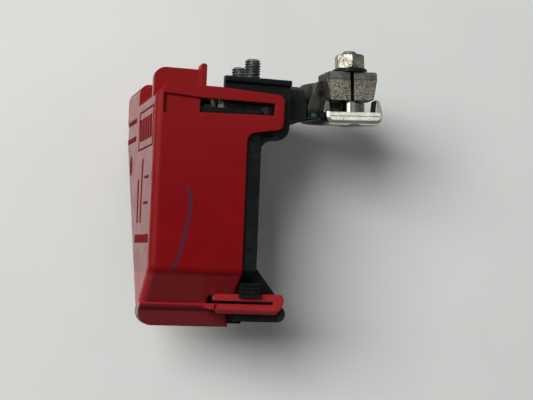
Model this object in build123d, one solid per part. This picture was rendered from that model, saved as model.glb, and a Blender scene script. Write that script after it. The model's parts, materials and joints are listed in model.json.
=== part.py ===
from build123d import *
import os

# Battery post clamp with a fused distribution box, in millimetres.
# The origin lies on the axis of the post bore, in the underside of the clamp ring. +Z runs up the
# battery post, -X points from the post to the front of the box, and -Y to the clamp's bolt.

# ---- Clamp casting -------------------------------------------------------------------------
bore_r = 9.4            # post bore at its mouth
bore_land = 4.5         # straight land above the mouth, before the post's taper begins
bore_taper = 1 / 18     # loss of radius for each mm of height: 1 in 9 on the diameter
ring_wall = 3.0
ring_height = 14.0
slot_width = 1.5        # saw cut through the ring and between the two ears
ear_reach = 22.5        # bore axis to the front face of the ears
ear_half_top = 9.8
ear_half_bottom = 8.3
ear_top = 16.3
ear_bottom = 5.7
slab_height = 2.9       # upright band along the top of each ear, above its tapered flank
slab_depth = 10.3
wedge_depth = 6.0       # depth of the tapered part that the saddle squeezes
neck_half = 7.0         # half width of the neck between the ears and the ring
gusset_front = 14.5     # bore axis to the front face of the gusset
gusset_foot_x = -14.9
gusset_knee_z = 3.6
gusset_top_x = -11.0

# ---- Clamp bolt set ------------------------------------------------------------------------
bolt_reach = 17.5       # bore axis to bolt axis, across the ears
bolt_x = 0.8            # the bolt set hangs this far to the right of the slot
bolt_r = 2.95           # M6, over its thread
bolt_gap = 0.05         # radial running clearance in the nut
bolt_hole_gap = 1.15    # radial clearance in the ears
washer_gap = 0.35       # radial clearance in the washer
bolt_show = 1.5         # length of bolt above the nut
washer_r = 6.5
washer_thick = 1.5
nut_flats = 10.0
nut_height = 5.3
nut_turn = 20.4         # angle of a nut corner about the bolt, from +X
saddle_half = 11.5
saddle_plate = 4.6
saddle_bottom = -3.3
saddle_corner = 3.0     # round along each lower side edge
saddle_edge = 1.9       # round along the lower front and back edges
saddle_groove_z = -0.3  # fine groove along the middle of the front edge
saddle_groove = 0.3
saddle_lip = 0.4        # how far the plate stands in front of the ears
saddle_depth = 8.0
arm_inner = 9.5         # half gap between the tips of the saddle's two arms
arm_foot_inner = 8.9    # half gap at their feet, where they are thicker
arm_tip_z = 6.3
arm_tip_wall = 0.9
arm_setback = 2.2       # front of the plate to the front of the arms
arm_depth = 5.8
bolt_head_r = 4.6
bolt_head_thick = 1.5

# ---- Box frame -----------------------------------------------------------------------------
# The box hangs from the arm with a small lean. Its pieces are drawn upright, with u along X and
# w along Z, from a point on the bore axis, and then leaned together.
box_lean = 3.0
box_rise = 2.1          # height of that point above the ring's underside

# ---- Cover ---------------------------------------------------------------------------------
cover_front = -75.1
cover_edge = -42.0      # open edge, towards the battery
cover_near = -31.0      # y of the near side
cover_far = 29.8        # y of the far side
cover_top = 3.2
cover_wall = 2.0
open_reach = 60.0       # how far the box's outline runs on above it before it is trimmed
far_bevel_top = -15.0   # the far side starts to slope inwards here
near_bevel_top = -61.3  # and the near side here
near_crease_round = 3.0
near_bevel_y = -12.4
near_bevel_w = -75.6
far_bevel_y = -5.4
far_bevel_w = -76.6
cover_bottom = -81.5
bottom_far_y = -6.4
bottom_edge_round = 5.0
toe_ledge_w = -73.2     # ledge across the near bevel
toe_proud = 0.9
front_round = 2.8
brow = 4.4              # bevel along the near part of the front top edge
top_edge = -52.6        # end of the top wall, short of the stud tray
hood_near = 4.6         # y of the raised hood's near wall
hood_top = 7.6
hood_round = 4.2
hood_edge_round = 1.6
side_inset = 1.2        # depth of the sunk field between the band and the side panel
side_field_front = -72.2
side_field_top = -0.9
side_field_bottom = -7.3
fin_y = -24.6           # pull tab on the top, near face
fin_thick = 2.0
fin_back = -58.9
fin_top = 9.7
fin_round = 4.4
post_width = 2.2
post_depth = 2.4        # how far the post stands in front of the fin
post_top = 11.7

# ---- Latch loops ---------------------------------------------------------------------------
loop_end = -28.8
loop_end_top = 1.9
loop_bottom = -10.2
loop_root_bottom = -12.5
loop_root_round = 3.3
window_left = -59.2
window_right = -32.2
window_top = -1.1
window_bottom = -6.2
low_loop_y = -25.0      # near face of the lower loop
low_loop_thick = 2.0
low_loop_root = -52.0   # left end of the loop's lower bar
low_loop_tip = -50.6    # left end of its upper bar
low_loop_end = -24.5
low_loop_top = -69.2
low_loop_rise = 0.3     # the loop grows this much taller towards its end
low_loop_bottom = -76.2
low_loop_web = -48.2    # web that carries the upper bar
low_slot_top = -71.6
low_slot_bottom = -72.6
low_slot_right = -28.4
low_ramp_bottom = -75.3
low_ramp_depth = 1.6
low_notch_left = -51.1  # hole through the bevelled wall, beside the loop's open end
low_notch_right = -47.4
low_notch_top = -70.0
low_notch_bottom = -73.0

# ---- Housing -------------------------------------------------------------------------------
slide_gap = 0.4         # clearance between the cover and the housing it slides over
tub_wall = 1.6
tub_front = -62.0
tub_top = -3.7          # top edge of the tub's side walls
web_front = -49.5       # face that carries the busbar and the output plates
web_thick = 2.6
skirt_back = -36.6
shoulder = 1.2          # step of the flange that the cover's edge meets
shoulder_gap = 0.3
flange_top = -15.4
rib_thick = 1.6
back_rib_levels = (-33.0, -50.0)
tray_left = -50.0
tray_right = -25.6
tray_inset = 2.0        # tray's side walls, inside the loops' inner faces
tray_wall = 2.2
tray_floor = 2.4        # thickness of the tray's floor
tray_bottom = -13.9
tray_corner = 5.0       # round at the side walls' lower back corner
tray_back_bottom = -5.2  # lower edge of the tray's back wall, between its side walls
neck_round = 5.6        # round between the tray's underside and the bar below it
groove_left = -39.4     # groove along each side wall, under the cover's loop
groove_right = -31.8
groove_top = -12.1
groove_height = 0.8
groove_depth = 0.9
tray_side_top = 8.0
rim_height = 2.2
rim_reach = 1.3
catch_left = -36.6
catch_right = -32.5
catch_top = -2.0
catch_bottom = -5.2
catch_gap = 0.2         # between the catch's crown and the loop's inner face
cradle_half = 15.0
cradle_right = -15.6
cradle_step = 1.0
cradle_step_w = 2.4
cradle_top = 7.1
cradle_bottom = -4.2
cheek_y = -22.2         # near face of the foot's cheek
cheek_thick = 2.2
cheek_top = -57.5
foot_right = -23.1
foot_bottom = -78.9
foot_bead_r = 2.9
foot_plate = 2.2
foot_far_y = 2.0
guide_left = -41.6
guide_right = -34.0
guide_top = -65.0
guide_lip_bottom = -70.3
guide_lip = 1.6
guide_ridge = 0.4
guide_ridges = 3

# ---- Arm and conductors --------------------------------------------------------------------
arm_half = 9.0
arm_bottom = -2.0
arm_top = 9.0
arm_end = -28.4
tongue_rim = 1.2        # metal left beside each cable stud, at the tongue's side
tongue_end = -42.0
tongue_thick = 3.0
bar_thick = 1.5
bar_overhang = 1.5      # the busbar passes the tongue by this much at each side
bar_right = -30.4
bar_bend = 2.4          # outer radius of the busbar's bend
bar_leg_near = -20.2
bar_leg_far = 21.0
bar_leg_bottom = -10.5
bar_pad_near = -25.2    # the leg widens below this height to carry the near fuse
bar_pad_top = -1.0
bar_top = 5.0
cable_stud_u = -35.6
cable_stud_spacing = 20.0
cable_stud_r = 3.0
cable_stud_top = 17.6
stud_shoulder = 0.3     # a cable stud is this much wider where it is pressed into the busbar
stud_tip = 0.8          # chamfer on a stud's tip
rivet_inset = 3.2       # rivet's distance from the busbar's end
rivet_r = 2.5
rivet_head_r = 4.2
rivet_head = 1.8

# ---- Fuses and outputs ---------------------------------------------------------------------
fuse_y = {"near": -19.0, "centre": -4.0}
fuse_top_w = -4.5
fuse_pitch = 30.0       # between a fuse's two holes
fuse_width = 12.0
fuse_link_thick = 0.8
fuse_link_neck = 5.0
fuse_lug_end = 5.5      # hole centre to the lug's end
fuse_body_length = 18.0
fuse_body_depth = 8.6
fuse_body_back = 1.1    # part of the body's depth behind the link
fuse_stud_r = 2.5
fuse_stud_length = 9.8  # in front of the web
fuse_nut_flats = 8.0
fuse_nut_height = 4.7
output_drop = 16.0      # from a fuse's lower hole to the output stud
output_end = 6.5
output_stud_r = 3.0
output_stud_length = 12.5
starter_y = 13.4
starter_w = -3.6
starter_r = 4.0
starter_length = 16.5
stud_head_thick = 1.4
stud_head_extra = 1.3   # head radius beyond the shank
head_gap = 0.2

ring_r = bore_r + ring_wall
ears_front_y = -ear_reach
bolt_y = -bolt_reach
nut_base = ear_top + washer_thick
saddle_front_y = ears_front_y - saddle_lip
saddle_back_y = saddle_front_y + saddle_depth
cover_mid = (cover_near + cover_far) / 2
loop_inner_near = cover_near + cover_wall
tray_near = loop_inner_near + tray_inset
tongue_half = cable_stud_spacing / 2 + cable_stud_r + stud_shoulder + tongue_rim
bar_half = tongue_half + bar_overhang
tongue_top = bar_top - bar_thick
tongue_bottom = tongue_top - tongue_thick
fuse_bottom_w = fuse_top_w - fuse_pitch
output_w = fuse_bottom_w - output_drop
plate_front = web_front - bar_thick
link_front = plate_front - fuse_link_thick
LOW = Align.MIN
MID = Align.CENTER


def block(x, y, z):
    """Box between two x, two y and two z values."""
    spans = [sorted(pair) for pair in (x, y, z)]
    size = [high - low for low, high in spans]
    return Pos(*[low for low, _ in spans]) * Box(*size, align=(LOW, LOW, LOW))


def outline(points):
    """Closed outline from (x, y) or (x, y, corner radius) points."""
    face = Polygon(*[point[:2] for point in points], align=None)
    for x, y, *radius in points:
        if radius:
            corner = face.vertices().sort_by_distance((x, y, 0))[0]
            face = fillet(corner, radius[0])
    return face


def along_y(face, y):
    """Push an outline drawn in x and z through the y span."""
    low, high = sorted(y)
    return extrude(Plane.XZ.offset(-low) * face, amount=high - low, dir=(0, 1, 0))


def along_x(face, x):
    """Push an outline drawn in y and z through the x span."""
    low, high = sorted(x)
    return extrude(Plane.YZ.offset(low) * face, amount=high - low, dir=(1, 0, 0))


def along_z(face, z):
    low, high = sorted(z)
    return extrude(Plane.XY.offset(low) * face, amount=high - low, dir=(0, 0, 1))


def lean(piece):
    """Carry a piece of the box from its upright drawing to its leaning place."""
    return Pos(0, 0, box_rise) * Rot(0, box_lean, 0) * piece


def rod_x(r, x, y, w):
    """Round bar along the box's u axis."""
    low, high = sorted(x)
    return Pos(low, y, w) * Rot(0, 90, 0) * Cylinder(r, high - low, align=(MID, MID, LOW))


def rod_z(r, z, x=0, y=0):
    low, high = sorted(z)
    return Pos(x, y, low) * Cylinder(r, high - low, align=(MID, MID, LOW))


def mirrored(piece):
    """The same piece on the other side of the cover's middle."""
    return mirror(piece, about=Plane.XZ.offset(-cover_mid))


# ---- Clamp ---------------------------------------------------------------------------------
def make_ears():
    slab_foot = ear_top - slab_height
    slab = outline([(-ear_half_top, slab_foot), (ear_half_top, slab_foot),
                    (ear_half_top, ear_top, 1.0), (-ear_half_top, ear_top, 1.0)])
    wedge = outline([(-ear_half_bottom, ear_bottom, 0.9), (ear_half_bottom, ear_bottom, 0.9),
                     (ear_half_top, slab_foot), (-ear_half_top, slab_foot)])
    neck = block((-neck_half, neck_half), (ears_front_y + wedge_depth, -bore_r),
                 (ear_bottom, slab_foot))
    ears = along_y(slab, (ears_front_y, ears_front_y + slab_depth))
    ears += along_y(wedge, (ears_front_y, ears_front_y + wedge_depth))
    return ears + neck


def make_gusset():
    """Web that ties the near side of the arm to the ears' slab."""
    slab_foot = ear_top - slab_height
    web = outline([(-neck_half, slab_foot), (gusset_top_x, slab_foot),
                   (gusset_foot_x, gusset_knee_z), (gusset_foot_x, 0), (-neck_half, 0)])
    return along_y(web, (-gusset_front, -bore_r))


def make_arm():
    """Arm from the ring into the tray, ending in the tongue under the busbar."""
    beam = outline([(-bore_r, arm_bottom), (-bore_r, arm_top + 1.6), (cradle_right, arm_top),
                    (arm_end + 1.4, arm_top, 1.2), (arm_end, tongue_top), (arm_end, arm_bottom)])
    tongue = outline([(arm_end + 0.5, -tongue_half), (arm_end + 0.5, tongue_half),
                      (tongue_end, tongue_half, 3.0), (tongue_end, -tongue_half, 3.0)])
    return along_y(beam, (-arm_half, arm_half)) + along_z(tongue, (tongue_bottom, tongue_top))


def make_clamp_body():
    casting = rod_z(ring_r, (0, ring_height)) + make_ears() + make_gusset() + lean(make_arm())
    land = rod_z(bore_r, (-1, bore_land))
    cone_height = ear_top - bore_land
    cone = Pos(0, 0, bore_land) * Cone(bore_r, bore_r - cone_height * bore_taper, cone_height,
                                       align=(MID, MID, LOW))
    casting -= land + cone
    casting -= block((-slot_width / 2, slot_width / 2), (2 * ears_front_y, 0), (-1, 2 * ear_top))
    casting -= rod_z(bolt_r + bolt_hole_gap, (0, 2 * ear_top), 0, bolt_y)
    for tool in stud_tools():
        casting -= lean(tool)
    return casting


# ---- Clamp bolt set ------------------------------------------------------------------------
def make_saddle():
    """Plate with two tapered arms that slide up the ears' flanks when the nut is turned."""
    plate_top = saddle_bottom + saddle_plate
    plate = Pos(0, 0, saddle_bottom) * Box(2 * saddle_half, saddle_depth, saddle_plate,
                                           align=(MID, LOW, LOW))
    low_edges = plate.faces().sort_by(Axis.Z)[0].edges()
    plate = fillet(low_edges.filter_by(Axis.Y), saddle_corner)
    low_edges = plate.faces().sort_by(Axis.Z)[0].edges()
    plate = fillet(low_edges.filter_by(Axis.X), saddle_edge)
    saddle = Pos(0, saddle_front_y, 0) * plate
    groove_z = (saddle_groove_z - saddle_groove / 2, saddle_groove_z + saddle_groove / 2)
    saddle -= block((-saddle_half, saddle_half), (saddle_front_y, saddle_front_y + saddle_groove / 2),
                    groove_z)
    arm_front = saddle_front_y + arm_setback
    for side in (-1, 1):
        arm = outline([(side * arm_foot_inner, plate_top - 1), (side * saddle_half, plate_top - 1),
                       (side * saddle_half, plate_top + 0.6),
                       (side * (arm_inner + arm_tip_wall), arm_tip_z), (side * arm_inner, arm_tip_z),
                       (side * arm_foot_inner, plate_top)])
        arm = along_y(arm, (arm_front, arm_front + arm_depth))
        saddle += fillet(arm.faces().sort_by(Axis.Z)[-1].edges().filter_by(Axis.X), 1.2)
    saddle = Pos(bolt_x, 0, 0) * saddle
    saddle -= rod_z(bolt_r, (saddle_bottom - 1, arm_tip_z), bolt_x, bolt_y)
    seat = (saddle_bottom - 1, saddle_bottom + bolt_head_thick)
    return saddle - rod_z(bolt_head_r, seat, bolt_x, bolt_y)


def make_clamp_bolt():
    top = nut_base + nut_height + bolt_show
    bolt = rod_z(bolt_r, (saddle_bottom, top), bolt_x, bolt_y)
    bolt = chamfer(bolt.edges().group_by(Axis.Z)[-1], stud_tip)
    head = (saddle_bottom, saddle_bottom + bolt_head_thick)
    return bolt + rod_z(bolt_head_r, head, bolt_x, bolt_y)


def hex_nut(flats, height, bore):
    """Nut on the Z axis with both ends chamfered round its corners."""
    corner = flats / 3 ** 0.5
    nut = extrude(RegularPolygon(corner, 6), amount=height)
    bevel = (corner - flats / 2) * 0.9
    cone = Cylinder(corner, height, align=(MID, MID, LOW))
    nut &= chamfer(cone.edges().filter_by(GeomType.CIRCLE), length=bevel * 0.6, length2=bevel)
    return nut - Cylinder(bore, 3 * height)


def make_clamp_nut():
    nut = hex_nut(nut_flats, nut_height, bolt_r + bolt_gap)
    return Pos(bolt_x, bolt_y, nut_base) * Rot(0, 0, nut_turn) * nut


def make_clamp_washer():
    washer = rod_z(washer_r, (ear_top, nut_base), bolt_x, bolt_y)
    washer = chamfer(washer.edges().group_by(Axis.Z)[-1], 0.25)
    return washer - rod_z(bolt_r + washer_gap, (ear_top - 1, nut_base + 1), bolt_x, bolt_y)


# ---- Studs ---------------------------------------------------------------------------------
def clinch_stud(r, length, back):
    """Stud along +Z from its head's underside at zero, with a head of the given thickness."""
    shank = Cylinder(r, length + back, align=(MID, MID, LOW))
    shank = chamfer(shank.edges().group_by(Axis.Z)[-1], stud_tip)
    return Pos(0, 0, -back) * (shank + Cylinder(r + stud_head_extra, back, align=(MID, MID, LOW)))


def cable_stud_places():
    half = cable_stud_spacing / 2
    return {"near": -half, "far": half}


def make_cable_stud(y):
    length = cable_stud_top - tongue_bottom
    stud = clinch_stud(cable_stud_r, length, stud_head_thick)
    stud += rod_z(cable_stud_r + stud_shoulder, (0, bar_top - tongue_bottom))
    return lean(Pos(cable_stud_u, y, tongue_bottom) * stud)


def front_stud(r, length, y, w):
    """Stud that stands forwards from the web, its head behind the plate it is pressed into."""
    stud = clinch_stud(r, length, stud_head_thick)
    return lean(Pos(web_front, y, w) * Rot(0, -90, 0) * stud)


def stud_tools():
    """Shanks of the two cable studs and the rivet, which cut the tongue and the busbar."""
    tools = [rod_z(cable_stud_r + stud_shoulder, (arm_bottom, bar_top + 1), cable_stud_u, y)
             for y in cable_stud_places().values()]
    rivet_x = bar_right - rivet_inset
    return tools + [rod_z(rivet_r, (arm_bottom, bar_top + 1), rivet_x)]


def make_rivet():
    rivet_x = bar_right - rivet_inset
    head = rod_z(rivet_head_r, (bar_top, bar_top + rivet_head), rivet_x)
    head = fillet(head.edges().group_by(Axis.Z)[-1], rivet_head * 0.8)
    shank = rod_z(rivet_r, (tongue_bottom, bar_top), rivet_x)
    tail = rod_z(rivet_head_r, (tongue_bottom - stud_head_thick, tongue_bottom), rivet_x)
    return lean(head + shank + tail)


# ---- Conductors ----------------------------------------------------------------------------
def bar_strip():
    """Flat top of the busbar and the bend down its front, before it is pierced."""
    strip = outline([(plate_front, bar_leg_bottom), (web_front, bar_leg_bottom),
                     (web_front, tongue_top, bar_bend - bar_thick), (bar_right, tongue_top),
                     (bar_right, bar_top), (plate_front, bar_top, bar_bend)])
    return along_y(strip, (-bar_half, bar_half))


def make_busbar():
    bar = bar_strip()
    leg = outline([(bar_leg_near, tongue_top - bar_bend), (bar_leg_near, bar_pad_top),
                   (bar_pad_near, bar_pad_top), (bar_pad_near, bar_leg_bottom, 2.5),
                   (bar_leg_far, bar_leg_bottom, 2.5), (bar_leg_far, tongue_top - bar_bend, 2.5)])
    bar += along_x(leg, (plate_front, web_front))
    for tool in stud_tools():
        bar -= tool
    for y in fuse_y.values():
        bar -= rod_x(fuse_stud_r, (plate_front - 1, web_front + 1), y, fuse_top_w)
    bar -= rod_x(starter_r, (plate_front - 1, web_front + 1), starter_y, starter_w)
    return lean(bar)


def make_output_plate(y):
    """Plate from a fuse's lower end down to its output stud."""
    half = fuse_width / 2
    top = fuse_bottom_w + fuse_lug_end
    bottom = output_w - output_end
    face = outline([(y - half, top, 1.5), (y + half, top, 1.5),
                    (y + half, bottom, half - 0.5), (y - half, bottom, half - 0.5)])
    plate = along_x(face, (plate_front, web_front))
    plate -= rod_x(fuse_stud_r, (plate_front - 1, web_front + 1), y, fuse_bottom_w)
    plate -= rod_x(output_stud_r, (plate_front - 1, web_front + 1), y, output_w)
    return lean(plate)


def fuse_link(y):
    """Stamped strip with a lug at each end and a narrow neck inside the fuse's body."""
    half = fuse_width / 2
    top = fuse_top_w + fuse_lug_end
    bottom = fuse_bottom_w - fuse_lug_end
    neck_top = (fuse_top_w + fuse_bottom_w + fuse_body_length) / 2
    neck_bottom = neck_top - fuse_body_length
    face = outline([(y - half, top, 2.5), (y + half, top, 2.5), (y + half, neck_top),
                    (y + fuse_link_neck / 2, neck_top), (y + fuse_link_neck / 2, neck_bottom),
                    (y + half, neck_bottom), (y + half, bottom, 2.5), (y - half, bottom, 2.5),
                    (y - half, neck_bottom), (y - fuse_link_neck / 2, neck_bottom),
                    (y - fuse_link_neck / 2, neck_top), (y - half, neck_top)])
    link = along_x(face, (link_front, plate_front))
    for w in (fuse_top_w, fuse_bottom_w):
        link -= rod_x(fuse_stud_r, (link_front - 1, plate_front + 1), y, w)
    return link


def make_fuse_body(y):
    """Moulded body round the link, with a bevelled window frame on its front."""
    half = fuse_width / 2 + 0.2
    middle = (fuse_top_w + fuse_bottom_w) / 2
    low = middle - fuse_body_length / 2
    high = middle + fuse_body_length / 2
    front = plate_front + fuse_body_back - fuse_body_depth
    back = plate_front + fuse_body_back
    body = block((front, back), (y - half, y + half), (low, high))
    body = chamfer(body.faces().sort_by(Axis.X)[0].edges(), 1.2)
    window = block((front - 1, front + 0.8), (y - half + 2.6, y + half - 2.6), (low + 4, high - 4))
    return lean(body - window - fuse_link(y))


def make_fuse_nut(y, w):
    nut = hex_nut(fuse_nut_flats, fuse_nut_height, fuse_stud_r)
    return lean(Pos(link_front, y, w) * Rot(0, -90, 0) * nut)


# ---- Shield outline shared by the cover and the housing --------------------------------------
def shield(inset, top):
    """Outline of the box seen from its front, drawn in y and w, inset from the cover's outside."""
    crease = (cover_near, near_bevel_top) if inset else (cover_near, near_bevel_top, near_crease_round)
    face = outline([(cover_near, open_reach), crease, (near_bevel_y, near_bevel_w),
                    (near_bevel_y, cover_bottom), (bottom_far_y, cover_bottom),
                    (far_bevel_y, far_bevel_w), (cover_far, far_bevel_top), (cover_far, open_reach)])
    if inset:
        face = offset(face, amount=-inset, kind=Kind.INTERSECTION)
    below = Rectangle(4 * open_reach, 4 * open_reach, align=(MID, Align.MAX))
    return face & (Pos(cover_mid, top) * below)


# ---- Cover ---------------------------------------------------------------------------------
def cover_side(inset, right):
    """Side view of the cover's near part, drawn in u and w, open or closed at its right."""
    front = cover_front + inset
    top = cover_top - inset
    bottom = cover_bottom + inset
    bevel = brow - inset * (2 - 2 ** 0.5)
    return outline([(front, bottom, bottom_edge_round - inset), (right, bottom),
                    (right, top), (front + bevel, top), (front, top - bevel)])


def hood(inset, right):
    """Raised part of the cover's top, towards its far side, with a rounded brow."""
    near = hood_near + inset
    far = cover_far - inset
    top = hood_top - inset
    front = cover_front + inset
    low = cover_top - brow - hood_round
    section = outline([(near, low), (far, low), (far, top, hood_round - inset),
                       (near, top, hood_edge_round - min(inset, hood_edge_round - 0.4))])
    side = outline([(front, low), (right, low), (right, top), (front, top, hood_round - inset)])
    return along_x(section, (front, right)) & along_y(side, (near, far))


def upper_loop():
    """Flat loop that runs back from the near wall, over the tray's side, drawn in u and w."""
    root = top_edge
    return outline([(root, cover_top), (loop_end, loop_end_top, 2.2),
                    (loop_end - 0.2, loop_bottom, 2.4), (cover_edge, loop_root_bottom, loop_root_round),
                    (cover_edge, loop_root_bottom - 4), (root, loop_root_bottom - 4)])


def upper_window():
    return outline([(window_left, window_top), (window_right, window_top - 0.1, 0.5),
                    (window_right, window_bottom + 0.7, 0.5), (window_left, window_bottom)])


def side_field():
    """Sunk field between the band along the top and the side panel."""
    return outline([(side_field_front, side_field_top + 0.7), (window_left + 0.1, window_top),
                    (window_left + 0.1, side_field_bottom), (side_field_front, side_field_bottom)])


def make_fin():
    """Pull tab along the top, with a taller post at its back end."""
    base = cover_top - cover_wall / 2
    front_base = base - brow
    tab = outline([(cover_front, front_base), (cover_front + brow, base), (fin_back + 1, base),
                   (fin_back + 1, fin_top), (cover_front, fin_top, fin_round)])
    post = outline([(fin_back, base), (fin_back + post_width, base),
                    (fin_back + post_width, post_top, post_width * 0.45),
                    (fin_back, post_top, post_width * 0.45)])
    fin = along_y(tab, (fin_y, fin_y + fin_thick))
    return fin + along_y(post, (fin_y - post_depth, fin_y + fin_thick))


def lower_loop():
    """Flat loop at the foot of the near side, carried clear of the bevelled wall by two webs."""
    root = low_loop_root
    end = low_loop_end
    plate = outline([(root, low_slot_bottom - 0.2), (low_loop_tip, low_slot_top),
                     (low_loop_tip, low_loop_top - 0.8), (low_loop_tip + 1.4, low_loop_top),
                     (end - 0.9, low_loop_top + low_loop_rise, 0.8),
                     (end, low_loop_top - 1.9, 0.8), (end - 1.0, low_loop_bottom + 2.2, 0.8),
                     (end - 2.8, low_loop_bottom, 1.2), (root + 3.2, low_loop_bottom, 0.8)])
    loop = along_y(plate, (low_loop_y, low_loop_y + low_loop_thick))
    loop += block((low_loop_web, low_loop_web + low_loop_thick), (low_loop_y, near_bevel_y),
                  (low_slot_top, low_loop_top - 0.2))
    return loop + block((root, root + low_loop_thick), (low_loop_y, near_bevel_y),
                        (low_loop_bottom + 1.4, low_slot_bottom - 0.2))


def lower_loop_cuts():
    """Slot between the two bars, the ramp along the lower bar, and the hole beside the loop."""
    inner = low_loop_y + low_loop_thick
    slot = block((low_loop_root, low_slot_right), (low_loop_y - 1, inner + 0.5),
                 (low_slot_bottom, low_slot_top))
    ramp = outline([(low_loop_y, low_ramp_bottom), (low_loop_y + low_ramp_depth, low_slot_bottom),
                    (low_loop_y - 1, low_slot_bottom), (low_loop_y - 1, low_ramp_bottom)])
    ramp = along_x(ramp, (low_loop_root + low_loop_thick, low_slot_right))
    wall = (low_loop_y + 4, near_bevel_y + 3)
    hole = block((low_notch_left, low_notch_right), wall, (low_notch_bottom, low_notch_top))
    return slot + ramp + hole + block((low_notch_left, cover_edge + 1), wall,
                                      (low_notch_bottom, low_slot_top + 0.3))


def toe_skin():
    """Lower part of the near bevel, which stands proud below a ledge."""
    run = (near_bevel_y - cover_near) / (near_bevel_w - near_bevel_top)
    ledge_y = near_bevel_y + (toe_ledge_w - near_bevel_w) * run
    section = outline([(ledge_y + 0.5, toe_ledge_w + 0.5), (ledge_y - toe_proud, toe_ledge_w - 0.4),
                       (near_bevel_y - toe_proud, near_bevel_w - 0.4), (near_bevel_y, cover_bottom),
                       (bottom_far_y, cover_bottom), (bottom_far_y, near_bevel_w)])
    skin = along_x(section, (cover_front, cover_edge - 0.7))
    return skin & along_y(cover_side(0, cover_edge), (cover_near, cover_far))


def make_cover():
    shell = along_x(shield(0, cover_top), (cover_front, cover_edge))
    shell = fillet(shell.edges().group_by(Axis.X)[0], front_round)
    shell &= along_y(cover_side(0, cover_edge), (cover_near - 1, cover_far + 1))
    shell += toe_skin() + hood(0, top_edge) + make_fin() + lower_loop()
    shell += along_y(upper_loop(), (cover_near, cover_near + cover_wall))
    shell += along_y(upper_loop(), (cover_far - cover_wall, cover_far))
    inside = along_x(shield(cover_wall, cover_top - cover_wall), (cover_front + cover_wall, 0))
    inside &= along_y(cover_side(cover_wall, 1), (cover_near, cover_far))
    shell -= inside + hood(cover_wall, top_edge + 1)
    shell -= block((top_edge, cover_edge + 1), (cover_near + cover_wall, cover_far - cover_wall),
                   (cover_top - 2 * cover_wall, hood_top))
    slant = outline([(top_edge, cover_top), (loop_end, loop_end_top), (loop_end, hood_top),
                     (top_edge, hood_top)])
    shell -= along_y(slant, (cover_near - 1, cover_far + 1))
    window = along_y(upper_window(), (cover_near - 1, cover_near + cover_wall + 0.5))
    field = along_y(side_field(), (cover_near - 1, cover_near + side_inset))
    shell -= window + mirrored(window) + field
    return lean(shell - lower_loop_cuts())


# ---- Housing -------------------------------------------------------------------------------
def tray_side():
    """Side view of the tray and the upper end of the bar below it, drawn in u and w."""
    neck_foot = tray_bottom - neck_round - 0.6
    neck_front = cover_edge + shoulder_gap
    return outline([(tray_left, tongue_top), (web_front, tongue_top), (web_front, flange_top - 2),
                    (neck_front, flange_top - 2), (neck_front, neck_foot),
                    (skirt_back, neck_foot), (skirt_back, tray_bottom, neck_round),
                    (tray_right, tray_bottom, tray_corner), (tray_right, tray_side_top),
                    (tray_left, tray_side_top)])


def tray_cavities():
    """Open top above the busbar's seat, and the space cored out below the floor."""
    low = tray_near + tray_wall
    high = 2 * cover_mid - low
    right = tray_right - tray_wall
    top = block((tray_left - 1, right), (low, high), (tongue_top, tray_side_top + 1))
    under = outline([(web_front + web_thick, tongue_bottom - tray_floor),
                     (right, tongue_bottom - tray_floor), (right, 2 * tray_bottom),
                     (web_front + web_thick, 2 * tray_bottom)])
    behind = block((web_front + web_thick, tray_right + 1), (low, high),
                   (2 * tray_bottom, tray_back_bottom))
    return top + along_y(under, (low, high)) + behind


def tray_grooves():
    """Groove along each side wall of the tray, just below the cover's loop."""
    slope = 0.11 * (groove_right - groove_left)
    groove = outline([(groove_left, groove_top - slope), (groove_right, groove_top),
                      (groove_right, groove_top - groove_height),
                      (groove_left, groove_top - slope - groove_height)])
    near = along_y(groove, (tray_near - 1, tray_near + groove_depth))
    return near + mirrored(near)


def make_tray():
    far = 2 * cover_mid - tray_near
    tray = along_y(tray_side(), (tray_near, far))
    rim = block((tray_left, tray_right), (tray_near - rim_reach, far + rim_reach),
                (tray_side_top - rim_height, tray_side_top))
    rim = chamfer(rim.edges().filter_by(Axis.X), 0.5)
    tray += rim
    cradle = outline([(tray_right - tray_wall, cradle_bottom), (cradle_right, cradle_bottom, 0.8),
                      (cradle_right, cradle_step_w), (cradle_right - cradle_step, cradle_step_w),
                      (cradle_right - cradle_step, cradle_top, 0.6),
                      (tray_right - tray_wall, cradle_top)])
    return tray - tray_cavities() - tray_grooves() + along_y(cradle, (-cradle_half, cradle_half))


def make_catch():
    """Low ramp on the tray's side that the upper loop's end bar springs over."""
    top = cover_near + cover_wall + catch_gap
    ramp = outline([(catch_left, tray_near + 0.5), (catch_left, tray_near), (catch_left + 2.2, top),
                    (catch_right, top), (catch_right, tray_near + 0.5)])
    return along_z(ramp, (catch_bottom, catch_top))


def make_foot():
    """Two cheeks, a plate and a rounded bead that reach under the box's back."""
    left = cover_edge + shoulder_gap
    bead_u = foot_right - foot_bead_r
    bead_w = foot_bottom + foot_bead_r
    cheek = outline([(left, cheek_top), (skirt_back, cheek_top), (skirt_back + 2.2, cheek_top - 2.4),
                     (bead_u - 1.6, bead_w + 7.6), (bead_u + 1.5, bead_w + 2.4), (bead_u, foot_bottom),
                     (left, foot_bottom)])
    foot = along_y(cheek, (cheek_y, cheek_y + cheek_thick))
    foot += along_y(cheek, (foot_far_y - cheek_thick, foot_far_y))
    foot += block((left, bead_u), (cheek_y, foot_far_y), (foot_bottom, foot_bottom + foot_plate))
    bead = Cylinder(foot_bead_r, foot_far_y - cheek_y, align=(MID, MID, LOW))
    return foot + Pos(bead_u, foot_far_y, bead_w) * Rot(90, 0, 0) * bead


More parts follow.
